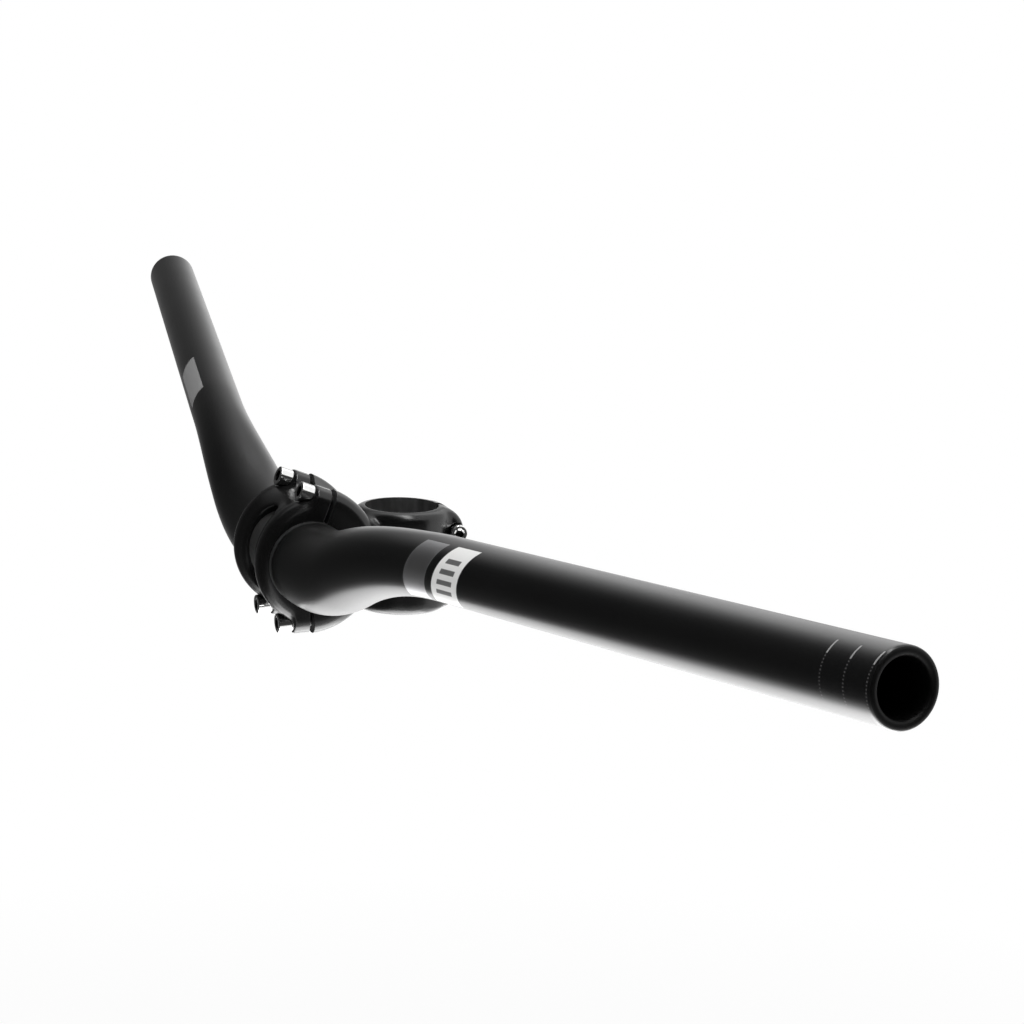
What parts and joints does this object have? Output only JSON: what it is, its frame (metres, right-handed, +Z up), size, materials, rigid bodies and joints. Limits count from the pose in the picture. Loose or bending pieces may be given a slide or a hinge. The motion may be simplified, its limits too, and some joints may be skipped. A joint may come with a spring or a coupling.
{
  "type": "mountain bike handlebar",
  "caption": "Tapered riser handlebar with swept-back ends, clamped at its middle in a short stem with an arched faceplate and a split steerer clamp.",
  "frame": {"origin": "on the steerer axis at the stem's lower face", "axes": "+Z up the steerer, +X along the bar to the rider's left, +Y to the rear"},
  "size_m": [0.8038, 0.0853, 0.0922],
  "materials": {
    "bar": "satin black carbon composite",
    "stem": "satin black anodised forging",
    "screw": "polished steel"
  },
  "bodies": {
    "root": {"handlebar": "bar", "stem_body": "stem", "faceplate": "stem", "faceplate_bolts": "screw", "pinch_bolts": "screw"}
  },
  "joints": []
}
